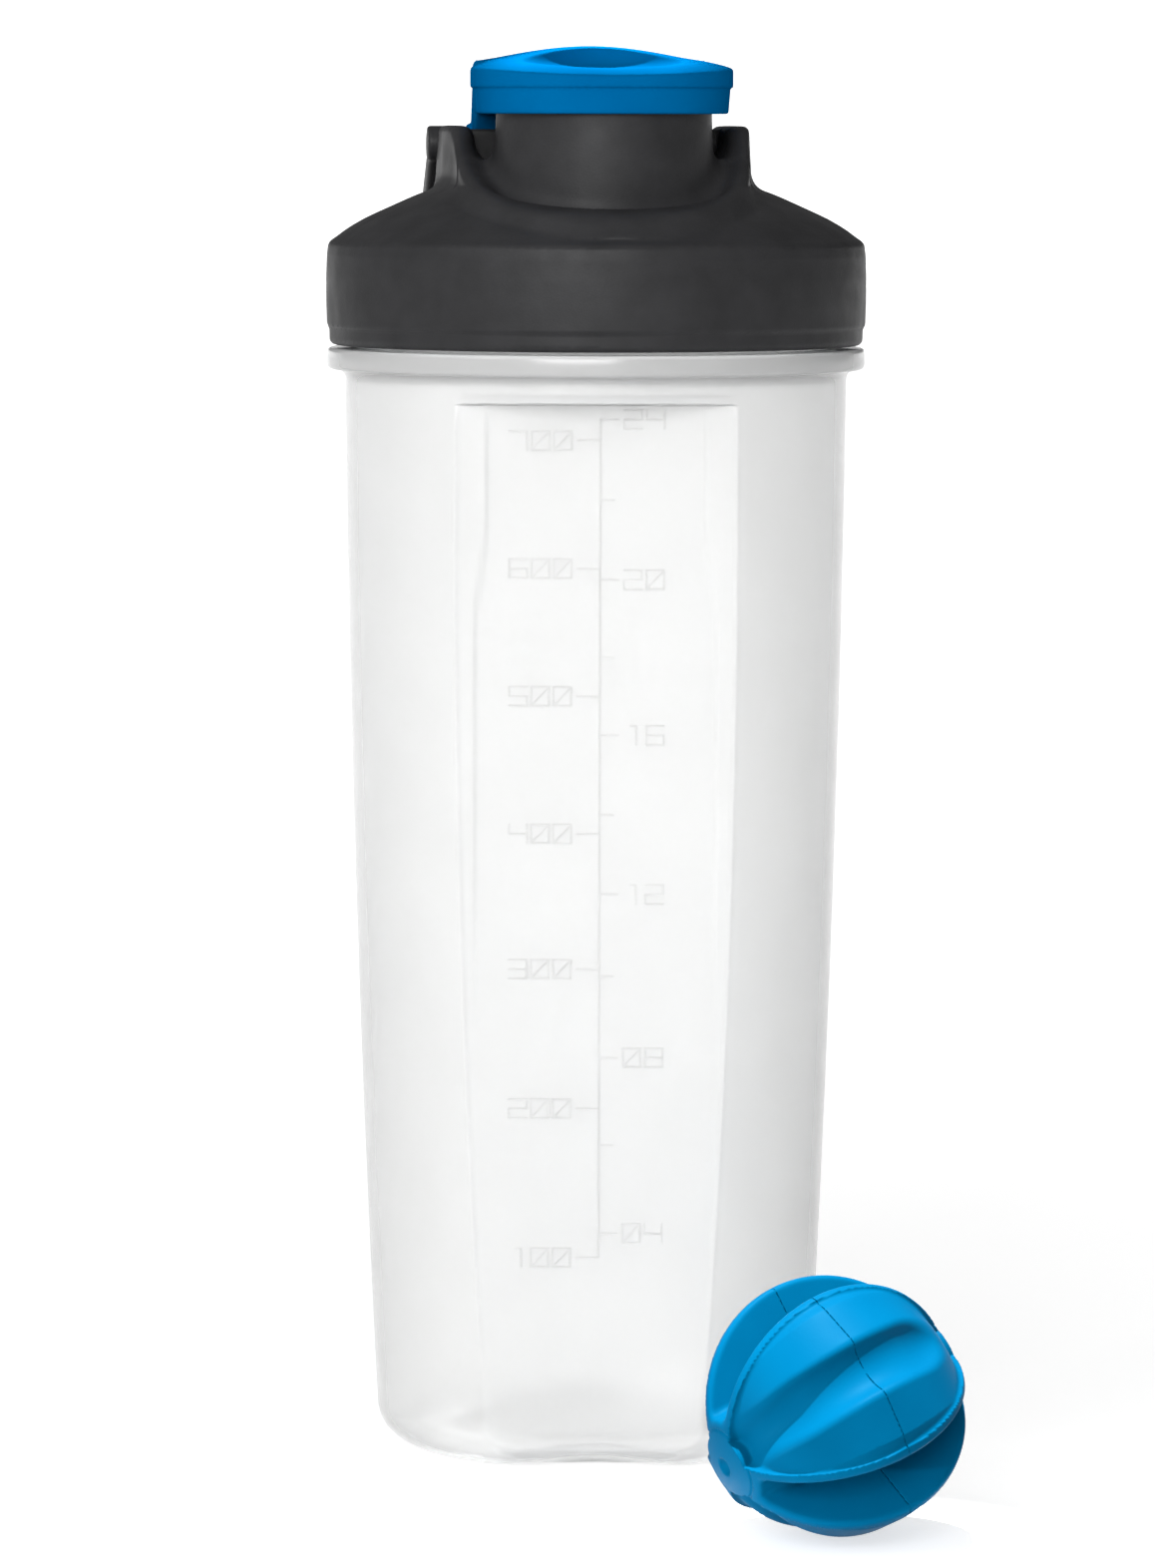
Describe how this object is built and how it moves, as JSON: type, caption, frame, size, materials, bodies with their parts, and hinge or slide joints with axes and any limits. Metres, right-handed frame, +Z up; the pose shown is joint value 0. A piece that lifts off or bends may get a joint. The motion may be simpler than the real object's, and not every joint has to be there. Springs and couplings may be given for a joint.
{
  "type": "protein shaker bottle",
  "caption": "Translucent shaker bottle with a screw lid, flip cap over a round spout, carry loop and a loose slotted agitator ball.",
  "frame": {"origin": "centre of the bottle's foot, on the surface that it stands on", "axes": "+Z up along the bottle's axis, -Y towards the front with the volume scale, +X to the right seen from the front"},
  "size_m": [0.1039, 0.1721, 0.2354],
  "materials": {
    "frosted_body": "frosted translucent polypropylene",
    "charcoal_lid": "fine satin texture",
    "clear_silicone": "satin",
    "blue_cap": "satin",
    "pin_steel": "bright",
    "blue_ball": "satin"
  },
  "bodies": {
    "bottle": {"bottle_body": "frosted_body"},
    "gasket": {"lid_gasket": "clear_silicone"},
    "lid": {"lid_shell": "charcoal_lid", "hinge_pin": "pin_steel"},
    "cap": {"flip_cap": "blue_cap", "spout_seal": "clear_silicone"},
    "loop": {"carry_loop": "charcoal_lid"},
    "agitator": {"agitator_near_half": "blue_ball", "agitator_far_half": "blue_ball"}
  },
  "joints": [
    {"name": "lid_rise", "type": "slide", "parent": "bottle", "child": "gasket", "axis": [0, 0, 1], "range_m": [0, 0.031]},
    {"name": "lid_turn", "type": "hinge", "parent": "gasket", "child": "lid", "pos_m": [0, 0, 0.19], "axis": [0, 0, 1], "range_deg": [0, 1080]},
    {"name": "cap_flip", "type": "hinge", "parent": "lid", "child": "cap", "pos_m": [-0.00157, 0.01793, 0.219], "axis": [-0.9962, -0.0872, 0], "range_deg": [0, 115]},
    {"name": "loop_swing", "type": "hinge", "parent": "lid", "child": "loop", "pos_m": [-0.00157, 0.01793, 0.219], "axis": [0.9962, 0.0872, 0], "range_deg": [0, 60]},
    {"name": "agitator_lift", "type": "slide", "parent": "bottle", "child": "agitator", "axis": [0, 0, 1], "range_m": [0, 0.05]}
  ],
  "couplings": [
    {"joint": "lid_rise", "follows": "lid_turn", "m_per_rad": 0.0015915}
  ]
}
